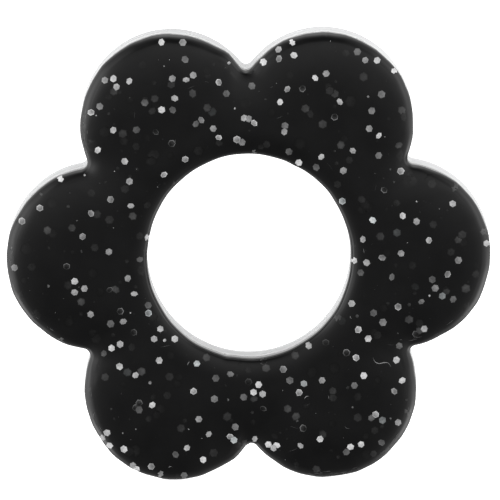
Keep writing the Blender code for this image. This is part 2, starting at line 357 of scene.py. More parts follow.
def level(points, y):
    """Points of the face as a flat loop at one y."""
    return [(x, y, z) for x, z in points]


def shoulder_insets(width, rows):
    """Insets across a shoulder, packed closely where it is steep."""
    return [width * (1 - math.cos(math.pi / 2 * i / rows)) for i in range(rows + 1)]


def resin_mesh():
    """The domed resin coat, as one closed ring."""
    outer_width, hole_width = OUTER_SHOULDER[0], HOLE_SHOULDER[0]
    seam = 0.005
    back_y = GROUND_FRONT_Y - seam
    far_from_hole = PETAL_R
    loops = [level(outer_points(0), back_y)]
    for inset in shoulder_insets(outer_width, OUTER_SHOULDER_ROWS):
        loops.append([(x, dome_y(x, z, inset, far_from_hole), z) for x, z in outer_points(inset)])
    starts, ends = outer_points(outer_width), hole_points(hole_width)
    for row in range(1, FACE_ROWS):
        share = row / FACE_ROWS
        loop = []
        for start, end in zip(starts, ends):
            x = start[0] + (end[0] - start[0]) * share
            z = start[1] + (end[1] - start[1]) * share
            loop.append((x, dome_y(x, z, *edge_gaps(x, z)), z))
        loops.append(loop)
    for inset in reversed(shoulder_insets(hole_width, HOLE_SHOULDER_ROWS)):
        loops.append([(x, dome_y(x, z, outer_distance(x, z), inset), z) for x, z in hole_points(inset)])
    loops.append(level(hole_points(0), back_y))
    bm = bmesh.new()
    skin(bm, loops, True)
    return bm


def ground_mesh():
    """The thin black coat, which follows the resin's uneven edge and closes the seams on both sides of it."""
    hidden = 0.012
    into_plate = 0.002
    into_resin = 0.01
    back_y = PLATE_FRONT_Y + into_plate
    front_y = GROUND_FRONT_Y - into_resin
    outer, hole = outer_points(hidden), hole_points(hidden)
    bm = bmesh.new()
    skin(bm, [level(outer, back_y), level(outer, front_y), level(hole, front_y), level(hole, back_y)], True)
    return bm


def plate_margin(is_hole, y, inset):
    """A plain loop at an inset from the true outline or hole."""
    loop = []
    for ray in RAYS:
        x, z = ray_point(ray, inset)
        if is_hole:
            x, z = on_circle(HOLE_R + inset, math.atan2(z, x))
        loop.append((x, y, z))
    return loop


def plate_mesh(rng):
    """The cut plate. Its walls carry faint cutting lines that run parallel to its faces, and small nicks."""
    face_margin = 0.4
    ripples = 7
    depths = [rng.uniform(0, CUT_DEPTH) for _ in range(WALL_ROWS + 1)]
    drifts = [rng.uniform(0, FULL_TURN) for _ in range(WALL_ROWS + 1)]
    nicks = []
    for _ in range(NICK_COUNT):
        nicks.append((rng.uniform(-math.pi, math.pi), rng.uniform(*NICK_WIDTHS), rng.uniform(*NICK_DEPTHS)))

    def wall_inset(row, angle):
        """How far a row of a wall lies inside the true outline at an angle."""
        inset = CHAMFER if row in (0, WALL_ROWS) else 0.0
        inset += depths[row] * (0.6 + 0.4 * math.sin(ripples * angle + drifts[row]))
        if row == 0:
            for place, width, depth in nicks:
                inset += depth * math.exp(-(math.remainder(angle - place, FULL_TURN) / width) ** 2)
        return inset

    def wall(is_hole):
        """Loops of one wall from the back to the front, with a margin on each face that keeps it flat."""
        loops = [plate_margin(is_hole, PLATE_BACK_Y, face_margin)]
        for row in range(WALL_ROWS + 1):
            y = PLATE_BACK_Y + (PLATE_FRONT_Y - PLATE_BACK_Y) * row / WALL_ROWS
            loop = []
            for ray in RAYS:
                x, z = ray_point(ray, 0)
                angle = math.atan2(z, x)
                inset = wall_inset(row, angle)
                x, z = on_circle(HOLE_R + inset, angle) if is_hole else ray_point(ray, inset)
                loop.append((x, y, z))
            loops.append(loop)
            if row == 0:
                loops.append(plate_margin(is_hole, PLATE_BACK_Y - CHAMFER, depths[row]))
            if row == WALL_ROWS - 1:
                loops.append(plate_margin(is_hole, PLATE_FRONT_Y + CHAMFER, depths[row]))
        loops.append(plate_margin(is_hole, PLATE_FRONT_Y, face_margin))
        return loops

    bm = bmesh.new()
    skin(bm, wall(False) + list(reversed(wall(True))), True)
    return bm


# -------- glitter


def edge_gap(x, z):
    """Distance of a point of the face from the nearest of the resin's edges."""
    return min(edge_gaps(x, z))


def random_spot(rng, margin):
    """A random point of the resin's face."""
    reach = PETAL_CENTRE_R + PETAL_R
    while True:
        x = rng.uniform(-reach, reach)
        z = rng.uniform(-reach, reach)
        if edge_gap(x, z) > margin:
            return x, z


def open_spot(rng, margin, taken, tries=3):
    """The random spot, out of a few, that lies farthest from the flakes so far."""
    spots = [random_spot(rng, margin) for _ in range(tries)]
    return max(spots, key=lambda spot: min((math.dist(spot, other) for other in taken), default=0.0))


def clear_spot(rng, margin, taken, gap):
    """An open spot that is at least a gap away from every flake so far."""
    while True:
        spot = open_spot(rng, margin, taken)
        if all(math.dist(spot, other) > gap for other in taken):
            return spot


def surface_row(bm, tones, ring, lift):
    """A row of vertices on the dome, lifted off it a little. ring is a list of ((x, z), colour)."""
    row = []
    for (x, z), colour in ring:
        vert = bm.verts.new((x, dome_y(x, z, *edge_gaps(x, z)) - lift, z))
        vert[tones] = (*colour, 1.0)
        row.append(vert)
    return row


def sunk_row(bm, tones, above):
    """A copy of a row, sunk into the resin."""
    row = []
    for vert in above:
        sunk = bm.verts.new((vert.co.x, vert.co.y + TABLET_DEPTH, vert.co.z))
        sunk[tones] = vert[tones]
        row.append(sunk)
    return row


def add_tablet(bm, tones, rings, lift):
    """Add one closed tablet that follows the dome, from its rings from the middle outwards."""
    rows = [surface_row(bm, tones, ring, lift) for ring in rings]
    rows.append(sunk_row(bm, tones, rows[-1]))
    bm.faces.new(rows[0])
    bm.faces.new(rows[-1])
    for first, second in zip(rows, rows[1:]):
        bridge(bm, first, second)


def pulled_inside(x, z, margin):
    """Push a point that hangs over an edge straight back, so that the edge cuts the flake."""
    step = 0.01
    for _ in range(2):
        short = margin - edge_gap(x, z)
        if short > 0:
            slope_x = edge_gap(x + step, z) - edge_gap(x - step, z)
            slope_z = edge_gap(x, z + step) - edge_gap(x, z - step)
            steepness = math.hypot(slope_x, slope_z)
            x += short * slope_x / steepness
            z += short * slope_z / steepness
    return x, z


class FlakeKind(NamedTuple):
    """One kind of flake. Ranges are drawn from at random, and sizes and edges are shares of FLAKE_R. Its
    tones are partly depth under the resin and partly a painted glint; its rims carry painted rim glints, and
    side_light paints one side brighter.
    """
    count: int
    sizes: tuple
    tones: tuple
    soft_edge: float
    rim_lights: tuple
    side_light: float
    margin: float
    lift: float


SILVER = (1.0, 1.0, 1.0)
COOL = (0.935, 0.99, 1.0)
COOL_SHARE = 0.045
# Most flakes keep a clear gap from the others. Some lie in touching pairs. Gaps are in flake radii.
PAIR_SHARE = 0.15
PAIR_GAP = (1.45, 2.1)
CLEAR_GAP = 2.2
FRAGMENT_GAP = 1.3
# A flake's make: its corners, how unevenly they are cut, how much it can lean (seen as a squash), how far its
# rings keep from the resin's edge, and how far it lies out of true with the others of its kind.
FLAKE_CORNERS = 6
CORNER_WEAR = (0.90, 1.04)
LEAN_SQUASH = 0.28
RING_MARGIN = 0.012
LIFT_JITTER = 0.0015
# Within a kind, dim tones are commoner than bright ones.
TONE_SKEW = 1.4
# Deep flakes are dim and soft under the smoky resin, and lie lowest. Bright ones lie on top. Beyond its
# depth, a flake's brightness is a painted glint for how it catches the light, and a bright rim is a painted
# edge glint.
FLAKE_KINDS = (
    FlakeKind(55, (0.90, 1.35), (0.004, 0.014), 0.55, (0.70, 1.0), 0.30, 0.05, 0.002),
    FlakeKind(84, (0.95, 1.10), (0.014, 0.085), 0.36, (0.75, 1.0), 0.15, 0.05, 0.004),
    FlakeKind(18, (0.95, 1.05), (0.010, 0.030), 0.12, (4.5, 9.0), 0.90, 0.12, 0.006),
    FlakeKind(50, (0.95, 1.03), (0.120, 0.320), 0.18, (0.90, 1.2), 0.14, 0.08, 0.008),
    FlakeKind(30, (0.97, 1.03), (0.240, 0.520), 0.12, (1.45, 2.1), 0.30, 0.10, 0.010),
    FlakeKind(98, (0.95, 1.02), (0.400, 1.060), 0.12, (0.92, 1.1), 0.12, 0.08, 0.012),
)
FRAGMENT_SIZES = (0.10, 0.13, 0.16, 0.22, 0.3, 0.45)
FRAGMENT_TONES = (0.012, 0.018, 0.03, 0.05, 0.08, 0.15, 0.3, 0.6)
FRAGMENT = FlakeKind(130, FRAGMENT_SIZES, FRAGMENT_TONES, 0.25, (1.0, 1.0), 0.30, 0.08, 0.014)
DUST_SIZES = (0.10, 0.14, 0.2, 0.3, 0.5, 0.8)
DUST_TONES = (0.004, 0.006, 0.008, 0.010, 0.013, 0.018)
DUST = FlakeKind(240, DUST_SIZES, DUST_TONES, 0.6, (0.6, 1.0), 0.40, 0.06, 0.001)


def add_flake(bm, tones, rng, kind, centre, radius, tone, tint, missing=0):
    """Add one flake: a flat middle, a rim that may be brighter with a painted glint, painted light on one
    side, and an edge that fades into the resin.
    """
    turn = rng.uniform(0, FULL_TURN)
    lit_from = rng.uniform(0, FULL_TURN)
    lean = rng.uniform(0, FULL_TURN)
    squash = LEAN_SQUASH * rng.random() ** 3
    rim = rng.uniform(*kind.rim_lights)
    wear = [rng.uniform(*CORNER_WEAR) for _ in range(FLAKE_CORNERS)]
    # Rings as (share of the radius, brightness). A rim brighter than the middle is a painted glint.
    profile = ((0.45, 1.0), (0.74, 1.0), (0.93, rim), (1.0, rim), (1.0 + kind.soft_edge, 0.0))
    rings = []
    for place, (share, brightness) in enumerate(profile):
        margin = RING_MARGIN * (len(profile) - place)
        ring = []
        for corner in range(FLAKE_CORNERS - missing):
            angle = turn + FULL_TURN * corner / FLAKE_CORNERS
            reach = radius * share * wear[corner]
            across = reach * squash * math.cos(angle - lean)
            x = centre[0] + reach * math.cos(angle) - across * math.cos(lean)
            z = centre[1] + reach * math.sin(angle) - across * math.sin(lean)
            # Painted light: the flake is brighter on the side towards lit_from, and its rim brightness paints
            # a glint.
            light = max(0.0, tone * brightness * (1 + kind.side_light * math.cos(angle - lit_from)))
            ring.append((pulled_inside(x, z, margin), tuple(min(1.0, light * part) for part in tint)))
        rings.append(ring)
    add_tablet(bm, tones, rings, kind.lift + rng.uniform(0, LIFT_JITTER))


def flake_spot(rng, margin, taken):
    """Where the next flake lies: in an open spot, or sometimes up against another flake."""
    clear = CLEAR_GAP * FLAKE_R
    flakes = taken[len(CURL):]
    if flakes and rng.random() < PAIR_SHARE:
        near = rng.choice(flakes)
        off = on_circle(FLAKE_R * rng.uniform(*PAIR_GAP), rng.uniform(0, FULL_TURN))
        beside = (near[0] + off[0], near[1] + off[1])
        if edge_gap(*beside) > margin and all(math.dist(beside, point) > clear for point in CURL):
            return beside
    return clear_spot(rng, margin, taken, clear)


def flakes_mesh(rng):
    """All the glitter: whole hexagons of several kinds, some lying in touching pairs, and broken bits."""
    bm = bmesh.new()
    # Each vertex's tone holds the flake's depth under the resin and its painted glint.
    tones = bm.verts.layers.float_color.new("flake_tone_and_glint")
    for _ in range(DUST.count):
        radius = FLAKE_R * rng.choice(DUST.sizes)
        add_flake(bm, tones, rng, DUST, random_spot(rng, DUST.margin), radius, rng.choice(DUST.tones), SILVER)
    taken = list(CURL)
    for kind in FLAKE_KINDS:
        for _ in range(kind.count):
            centre = flake_spot(rng, kind.margin, taken)
            taken.append(centre)
            tint = COOL if rng.random() < COOL_SHARE else SILVER
            radius = FLAKE_R * rng.uniform(*kind.sizes)
            low, high = kind.tones
            tone = low + (high - low) * rng.random() ** TONE_SKEW
            add_flake(bm, tones, rng, kind, centre, radius, tone, tint)
    for _ in range(FRAGMENT.count):
        radius = FLAKE_R * rng.choice(FRAGMENT.sizes)
        centre = clear_spot(rng, FRAGMENT.margin, taken, FRAGMENT_GAP * (FLAKE_R + radius))
        missing = rng.choice((0, 1, 2))
        add_flake(bm, tones, rng, FRAGMENT, centre, radius, rng.choice(FRAGMENT.tones), SILVER, missing)
    return bm


def add_strip(bm, tones, ring, length):
    """Add a closed flat strip whose outline runs up one side and back down the other."""
    tops = surface_row(bm, tones, ring, MARK_LIFT)
    lows = sunk_row(bm, tones, tops)
    for i in range(length - 1):
        across = len(ring) - 1 - i
        bm.faces.new((tops[i], tops[i + 1], tops[across - 1], tops[across]))
        bm.faces.new((lows[i], lows[across], lows[across - 1], lows[i + 1]))
    bridge(bm, tops, lows)


def add_hairline(bm, tones, points, half_width, tone):
    """Add one thin mark along a row of points on the face. It narrows and fades towards both ends."""
    end_share = 0.45
    sides = ([], [])
    for i, (x, z) in enumerate(points):
        before = points[max(0, i - 1)]
        after = points[min(len(points) - 1, i + 1)]
        heading = math.atan2(after[1] - before[1], after[0] - before[0])
        fade = math.sin(math.pi * (i + 0.6) / (len(points) + 0.2))
        reach = half_width * (end_share + (1 - end_share) * fade)
        for side, row in zip((1, -1), sides):
            point = (x - side * reach * math.sin(heading), z + side * reach * math.cos(heading))
            row.append((point, (tone * fade,) * 3))
    ring = sides[0] + list(reversed(sides[1]))
    add_strip(bm, tones, ring, len(points))


def wavy_line(start, heading, length, bend, wave):
    """Points of a short line that bends and waves."""
    points = []
    x, z = start
    steps = 14
    for i in range(steps + 1):
        points.append((x, z))
        direction = heading + bend * i / steps - wave * math.cos(FULL_TURN * i / steps)
        x += length / steps * math.cos(direction)
        z += length / steps * math.sin(direction)
    return points


# The curled hair, low on the right, which the flakes keep clear of.
CURL = wavy_line((8.12, -6.68), math.radians(-29), 1.55, 0.0, math.radians(42))
CURL_WIDTH = 1.5
CURL_TONE = 0.55


class LineKind(NamedTuple):
    """One kind of short line. Ranges are drawn from at random, and its width is a share of the usual one."""
    count: int
    margin: float
    lengths: tuple
    bends: tuple
    width: float
    tones: tuple


FIBRE = LineKind(9, 0.7, (0.18, 0.42), (-1.8, 1.8), 1.6, (0.08, 0.5))
SCRATCH = LineKind(14, 1.2, (0.25, 0.8), (-0.5, 0.5), 1.0, (0.03, 0.10))

# Where broken light lines run along an edge, as (petal, first and last place around it), all in degrees. They
# are wear marks that also paint part of the broken highlight along these shoulders. An edge that is listed
# twice has twice as many.
WORN_AND_HIGHLIGHT_EDGES = (
    (-60, -105, -35), (-60, -105, -35), (0, -105, -35), (180, 150, 235), (240, 170, 235), (120, 165, 200))
DASH_COUNT = 84
DASH_INSETS = (0.10, 0.18, 0.26, 0.34, 0.46)
DASH_DRIFT = (-0.02, 0.02)
DASH_SWEEPS = (0.015, 0.11)
DASH_WIDTH = 0.9
DASH_WEAR_AND_HIGHLIGHT_TONES = (0.04, 0.22)


def dash_line(rng):
    """Points of one dash, along an arc that runs inside a petal's edge."""
    tip, first, last = rng.choice(WORN_AND_HIGHLIGHT_EDGES)
    inset = rng.choice(DASH_INSETS) + rng.uniform(*DASH_DRIFT)
    start = math.radians(rng.uniform(first, last))
    sweep = rng.uniform(*DASH_SWEEPS)
    centre = on_circle(PETAL_CENTRE_R, math.radians(tip))
    steps = 6
    line = []
    for i in range(steps + 1):
        off = on_circle(PETAL_R - inset, start + sweep * i / steps)
        line.append((centre[0] + off[0], centre[1] + off[1]))
    return line


def marks_mesh(rng):
    """Hairline marks: a curled hair, short fibres, scratches and broken light lines along the edges, which
    are wear that also paints part of the shoulders' highlight.
    """
    bm = bmesh.new()
    tones = bm.verts.layers.float_color.new("flake_tone_and_glint")
    add_hairline(bm, tones, CURL, MARK_HALF_WIDTH * CURL_WIDTH, CURL_TONE)
    for kind in (FIBRE, SCRATCH):
        for _ in range(kind.count):
            spot = random_spot(rng, kind.margin)
            heading = rng.uniform(0, FULL_TURN)
            line = wavy_line(spot, heading, rng.uniform(*kind.lengths), rng.uniform(*kind.bends), 0.0)
            add_hairline(bm, tones, line, MARK_HALF_WIDTH * kind.width, rng.uniform(*kind.tones))
    # Dashes along the edges: wear marks that also paint part of the shoulders' highlight.
    for _ in range(DASH_COUNT):
        line = dash_line(rng)
        add_hairline(bm, tones, line, MARK_HALF_WIDTH * DASH_WIDTH, rng.uniform(*DASH_WEAR_AND_HIGHLIGHT_TONES))
    return bm


# -------- materials


def node(material, kind, **settings):
    """Add a node to a material, or to the world, and set its properties."""
    made = material.node_tree.nodes.new(kind)
    for name, value in settings.items():
        setattr(made, name, value)
    return made


def new_material(name, colour, roughness, sockets=()):
    """A Principled material. Its plain colour and roughness show where no pattern is linked to them."""
    material = bpy.data.materials.new(name)
    material.use_nodes = True
    shader = material.node_tree.nodes["Principled BSDF"]
    shader.inputs["Base Color"].default_value = (*colour, 1.0)
    shader.inputs["Roughness"].default_value = roughness
    for socket, value in sockets:
        shader.inputs[socket].default_value = value
    return material


def link(material, output, socket):
    """Link an output to an input."""
    material.node_tree.links.new(output, socket)


def feed(material, output, socket):
    """Link an output to one of the Principled shader's inputs."""
    link(material, output, material.node_tree.nodes["Principled BSDF"].inputs[socket])


def noise(material, per_mm, detail=4.0, stretch=(1, 1, 1)):
    """Noise over the piece with a number of patterns in each millimetre."""
    place = node(material, "ShaderNodeTexCoord")
    mapping = node(material, "ShaderNodeMapping")
    mapping.inputs["Scale"].default_value = [per_mm / MM * part for part in stretch]
    texture = node(material, "ShaderNodeTexNoise")
    texture.inputs["Scale"].default_value = 1.0
    texture.inputs["Detail"].default_value = detail
    link(material, place.outputs["Object"], mapping.inputs["Vector"])
    link(material, mapping.outputs["Vector"], texture.inputs["Vector"])
    return texture.outputs["Fac"]


def spread(material, value, low, high, start=0.3, end=0.7, easing="LINEAR"):
    """Map a pattern to a range of numbers."""
    ranged = node(material, "ShaderNodeMapRange", interpolation_type=easing)
    ranged.inputs["From Min"].default_value = start
    ranged.inputs["From Max"].default_value = end
    ranged.inputs["To Min"].default_value = low
    ranged.inputs["To Max"].default_value = high
    link(material, value, ranged.inputs["Value"])
    return ranged.outputs["Result"]


def colour_mixer(material, blend_type="MIX"):
    """A node that mixes colours, as its factor, its two colour inputs and its colour output."""
    mixer = node(material, "ShaderNodeMix", data_type="RGBA", blend_type=blend_type)
    first, second = [socket for socket in mixer.inputs if socket.type == "RGBA"]
    mixed = next(output for output in mixer.outputs if output.type == "RGBA")
    return mixer.inputs["Factor"], first, second, mixed


def colour_between(material, value, low, high, start=0.3, end=0.7):
    """Mix two colours by a pattern."""
    factor, first, second, mixed = colour_mixer(material)
    first.default_value = (*low, 1.0)
    second.default_value = (*high, 1.0)
    link(material, spread(material, value, 0.0, 1.0, start, end), factor)
    return mixed


def bump(material, value, height, below=None):
    """Turn a pattern into small relief, with its height in millimetres, perhaps over another relief."""
    relief = node(material, "ShaderNodeBump")
    relief.inputs["Distance"].default_value = height * MM
    link(material, value, relief.inputs["Height"])
    if below:
        link(material, below, relief.inputs["Normal"])
    return relief.outputs["Normal"]


def resin_material():
    """Smoky black resin with a wet gloss, a breath of dust and a barely wavy surface."""
    material = new_material("smoky resin", (0.0035, 0.0035, 0.004), 0.06)
    cloud = noise(material, 0.5, 3.0)
    tone = colour_between(material, cloud, (0.0004, 0.0004, 0.0006), (0.0034, 0.0034, 0.0036))
    feed(material, tone, "Base Color")
    haze = noise(material, 2.6, 5.0)
    feed(material, spread(material, haze, 0.05, 0.11), "Roughness")
    waves = bump(material, noise(material, 0.35, 2.0), 0.006)
    feed(material, bump(material, noise(material, 7.0, 3.0), 0.0004, waves), "Normal")
    return material


def ground_material():
    """Matte black coat with a fine sprayed grain."""
    material = new_material("black coat", (0.006, 0.006, 0.007), 0.5)
    grain = noise(material, 9.0)
    tone = colour_between(material, grain, (0.004, 0.004, 0.005), (0.010, 0.010, 0.011))
    feed(material, tone, "Base Color")
    feed(material, bump(material, grain, 0.004), "Normal")
    return material


def flake_material():
    """Silver flakes under the resin's own gloss. Each flake's tone is in its mesh: its depth under the resin,
    with a painted glint and painted side light.
    """
    material = new_material("glitter", (0.8, 0.8, 0.8), 0.06)
    tone = node(material, "ShaderNodeVertexColor", layer_name="flake_tone_and_glint")
    grain = colour_between(material, noise(material, 7.0, 3.0), (0.68, 0.68, 0.69), (1.0, 1.0, 1.0))
    factor, first, second, mottled = colour_mixer(material, "MULTIPLY")
    factor.default_value = 1.0
    link(material, tone.outputs["Color"], first)
    link(material, grain, second)
    feed(material, mottled, "Base Color")
    return material


def acrylic_material():
    """Pale milky acrylic with a satin gloss, and cutting lines that run along its walls."""
    material = new_material("pale acrylic", (0.60, 0.605, 0.61), 0.3,
                            (("Subsurface Weight", 0.3), ("Subsurface Scale", 0.9 * MM),
                             ("Subsurface Radius", (1.0, 1.0, 1.0)), ("IOR", 1.49)))
    lines = noise(material, 1.1, 2.0, (0.04, 1.0, 0.04))
    tone = colour_between(material, lines, (0.55, 0.555, 0.56), (0.78, 0.785, 0.79), 0.35, 0.65)
    feed(material, tone, "Base Color")
    feed(material, spread(material, noise(material, 0.8), 0.25, 0.36), "Roughness")
    ripple = bump(material, noise(material, 1.2, 1.0), 0.002)
    feed(material, bump(material, lines, 0.03, ripple), "Normal")
    return material


def glue_material():
    """Clear adhesive, faintly yellow, with tiny bubbles."""
    material = new_material("clear adhesive", (0.72, 0.70, 0.62), 0.15,
                            (("IOR", 1.47), ("Transmission Weight", 0.35)))
    bubbles = node(material, "ShaderNodeTexVoronoi")
    place = node(material, "ShaderNodeTexCoord")
    bubbles.inputs["Scale"].default_value = 2.5 / MM
    link(material, place.outputs["Object"], bubbles.inputs["Vector"])
    distance = bubbles.outputs["Distance"]
    tone = colour_between(material, distance, (0.80, 0.79, 0.74), (0.66, 0.64, 0.56), 0.1, 0.5)
    feed(material, tone, "Base Color")
    feed(material, bump(material, distance, 0.02), "Normal")
    return material


def metal_material(name, dark, light, rough_range, stretch):
    """A plated metal with tumbled micro-scratches, faint stains and an uneven gloss."""
    material = new_material(name, light, rough_range[0], (("Metallic", 1.0),))
    stains = noise(material, 0.7, 5.0)
    feed(material, colour_between(material, stains, dark, light), "Base Color")
    feed(material, spread(material, noise(material, 3.5), *rough_range), "Roughness")
    scratches = noise(material, 6.0, 6.0, stretch)
    dents = bump(material, noise(material, 1.2, 2.0), 0.012)
    feed(material, bump(material, scratches, 0.003, dents), "Normal")
    return material


# -------- hardware


def side_place(side):
    """Where one side's post stands, and how its clutch is turned."""
    low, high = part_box(side + "_post")
    turn = CLUTCH_TURN if side == "left" else -CLUTCH_TURN
    return (low[0] + high[0]) / 2 / MM, (low[2] + high[2]) / 2 / MM, turn


def glue_mesh(rng):
    """Adhesive squeezed out unevenly from under the pad."""
    phases = [rng.uniform(0, FULL_TURN) for _ in range(4)]
    core_r = 0.3
    swell = 0.035

    def squeeze(angle, radius):
        if radius <= core_r:
            return radius
        waves = sum(math.sin(turns * angle + phase) / turns for turns, phase in enumerate(phases, 2))
        return radius * (1 + swell * waves)

    # The bead's points as (distance past the pad's edge, y).
    bead = ((0.05, -0.002), (0.22, 0.01), (0.27, 0.05), (0.2, 0.11), (0.08, 0.17), (-0.05, 0.19))
    top_y = box_y("left_pad")[0] + 0.004
    section = [(core_r, -0.002)]
    section += [(PAD_R + out, y) for out, y in bead]
    section += [(PAD_R - 0.3, top_y), (core_r, top_y)]
    return turned(section, TURN_SEGMENTS, wobble=squeeze)


def pad_mesh():
    """A stamped disc with a rounded edge, a shallow rim groove and a raised collar around the post."""
    front_y, back_y = box_y("left_pad")
    bore_r = 0.5
    recess_r = 1.3
    recess_y = front_y + 0.2
    groove_y = back_y - 0.03
    edge = 0.12
    section = [(bore_r, recess_y), (recess_r, recess_y), (recess_r, front_y)]
    section += [(PAD_R - 0.05, front_y), (PAD_R, front_y + 0.05)]
    section += rounded((PAD_R - edge, back_y - edge), edge, 0, 90, 5)
    section += [(3.45, back_y), (3.38, groove_y), (3.22, groove_y), (3.15, back_y)]
    section += [(1.15, back_y), (1.0, groove_y), (0.84, groove_y)]
    section += [(0.74, back_y + 0.02), (bore_r, back_y + 0.03)]
    return turned(section, TURN_SEGMENTS)


def post_mesh():
    """A nail post: flat head, straight shank, smooth grip groove and a rounded point."""
    head_y, tip_y = box_y("left_post")
    head_r = 1.25
    groove_y = tip_y - 1.3
    groove_half = 0.3
    groove_depth = 0.13
    steps = 12
    section = [(head_r - 0.05, head_y), (head_r, head_y + 0.04), (head_r, head_y + 0.16)]
    section += [(POST_R, head_y + 0.17), (POST_R, groove_y - groove_half - 0.04)]
    for i in range(steps + 1):
        share = i / steps
        dip = groove_depth * math.sin(math.pi * share) ** 0.7 if 0 < i < steps else 0.0
        section.append((POST_R - dip, groove_y - groove_half + 2 * groove_half * share))
    # The point, as (radius, distance from its end).
    point = ((POST_R, 0.84), (0.5, 0.68), (0.40, 0.48), (0.27, 0.25), (0.15, 0.08), (0.06, 0.0))
    section += [(radius, tip_y - from_end) for radius, from_end in point]
    return turned(section, POST_SEGMENTS, False)


# A nub's steps as (how much narrower, how much higher), and the ring of the face that the nubs stand on.
NUB_STEPS = ((0.05, 0.03), (0.05, 0.05), (0.04, 0.04))
NUB_RING = (2.3, 2.9)
NUB_COUNT = 4
NUB_SEGMENTS = 2


def raise_nubs(bm, face_y):
    """Raise the nubs from the cap's face, in evenly spaced pairs of facets."""
    bm.normal_update()
    chosen = []
    for face in bm.faces:
        centre = face.calc_center_median()
        in_ring = NUB_RING[0] < math.hypot(centre.x, centre.z) < NUB_RING[1]
        segment = int(math.atan2(centre.z, centre.x) % FULL_TURN / (FULL_TURN / TURN_SEGMENTS))
        if in_ring and centre.y < face_y + 0.01 and segment % (TURN_SEGMENTS // NUB_COUNT) < NUB_SEGMENTS:
            chosen.append(face)
    for thickness, height in NUB_STEPS:
        bmesh.ops.inset_region(bm, faces=chosen, thickness=thickness, use_even_offset=True)
        for vert in {vert for face in chosen for vert in face.verts}:
            vert.co.y -= height


def cap_mesh():
    """A clutch cap: a dished disc with a rolled rim and small pointed nubs that bite the fabric."""
    nub_tip_y, top_y = box_y("left_clutch_cap")
    face_y = nub_tip_y + sum(height for thickness, height in NUB_STEPS)
    floor_y = face_y + SHEET
    under_rim_y = top_y - 0.27
    bore_r = 0.72
    wall_r = CAP_R - SHEET
    edge = 0.25
    curl_r = 0.135
    bead_y = face_y + 0.45
    section = [(0.78, face_y - 0.02), (0.95, face_y), (1.6, face_y)]
    section += [(NUB_RING[0], face_y), (NUB_RING[1], face_y), (3.6, face_y)]
    section += rounded((CAP_R - edge, face_y + edge), edge, -90, 0, 6)
    section += [(CAP_R, bead_y - 0.05), (CAP_R - 0.035, bead_y), (CAP_R, bead_y + 0.05)]
    section += rounded((CAP_R - edge, top_y - edge), edge, 0, 90, 6)
    section += rounded((3.8 + curl_r, under_rim_y + curl_r), curl_r, 90, 270, 8)
    section += [(wall_r, under_rim_y), (wall_r, floor_y), (bore_r, floor_y), (bore_r, face_y + 0.05)]
    bm = turned(section, TURN_SEGMENTS)
    raise_nubs(bm, face_y)
    return bm


def spring_plate_mesh():
    """A spring plate: a disc with two upturned lips that the wings rock on."""
    front_y, lip_y = box_y("left_spring_plate")
    back_y = front_y + SPRING_SHEET
    edge = 0.05
    bore_r = 0.65
    flat_r = SPRING_R - edge
    ridge_y = back_y + 0.03
    section = [(bore_r, front_y + 0.02), (bore_r + 0.04, front_y), (flat_r, front_y)]
    section += [(SPRING_R, front_y + edge), (SPRING_R, back_y - edge), (flat_r, back_y)]
    section += [(3.3, back_y), (3.22, ridge_y), (3.06, ridge_y), (2.98, back_y)]
    section += [(0.9, back_y), (0.74, ridge_y), (bore_r, back_y)]
    bm = turned(section, TURN_SEGMENTS)
    # A lip's levels as (y, how much narrower on each side), from its tucked root to its bevelled top.
    levels = ((back_y - 0.1, 0.06), (back_y, 0.03), (back_y + 0.05, 0.0), (lip_y - 0.05, 0.0), (lip_y, 0.04))
    for side in (1, -1):
        middle = side * LIP_OFFSET
        loops = []
        for y, shrink in levels:
            half_x = LIP_HALF_WIDTH - shrink
            half_z = SPRING_SHEET / 2 - shrink
            low_z, high_z = middle - side * half_z, middle + side * half_z
            loops.append([(-half_x, y, low_z), (half_x, y, low_z), (half_x, y, high_z), (-half_x, y, high_z)])
        skin(bm, loops, False)
    return bm


# A wing is a bent strip: its jaw's tip as (out, rise), then bends as (length, turn in degrees, steps) through
# the root to the flare, which widens to round corners and has a pressed rib.
JAW_TIP = (-0.44, -0.37)
ROOT_BENDS = ((0.22, 0, 4), (0.28, -80, 8), (0.10, 0, 2), (0.25, 62, 8))
ROOT_LENGTH = sum(length for length, turn, steps in ROOT_BENDS)
FLARE_LENGTH = 5.5
FLARE = (FLARE_LENGTH, -42, 30)
WING_HALF_WIDTH = 2.2
WING_CORNER_R = 1.6
WING_EDGE = 0.045
WING_COLUMNS = 14
TIP_THINNESS = 0.55
RIB_HEIGHT = 0.09
RIB_HALF_WIDTH = 0.42
RIB_EASE = 0.9
RIB_END_GAP = 1.0


def wing_path():
    """The bent strip's centre line as (out, rise, heading, distance from the jaw's tip)."""
    out, rise = JAW_TIP
    heading = math.pi / 2
    travelled = 0.0
    stations = [(out, rise, heading, travelled)]
    for length, turn, steps in (*ROOT_BENDS, FLARE):
        stride = length / steps
        half_turn = math.radians(turn) / steps / 2
        for _ in range(steps):
            heading += half_turn
            out += stride * math.cos(heading)
            rise += stride * math.sin(heading)
            travelled += stride
            heading += half_turn
            stations.append((out, rise, heading, travelled))
    return stations


def wing_half_width(travelled):
    """Half the wing's width: a lip's at the jaw, widening to the middle of the flare, with round corners."""
    along = max(0.0, travelled - ROOT_LENGTH)
    widening = min(1.0, along / (FLARE_LENGTH / 2))
    half = LIP_HALF_WIDTH + (WING_HALF_WIDTH - LIP_HALF_WIDTH) * math.sin(widening * math.pi / 2)
    past_corner = max(0.0, along - (FLARE_LENGTH - WING_CORNER_R))
    return half - WING_CORNER_R + math.sqrt(max(0.0, WING_CORNER_R ** 2 - past_corner ** 2))


def smooth_step(value):
    """Ease from 0 to 1."""
    value = min(1.0, max(0.0, value))
    return value * value * (3 - 2 * value)


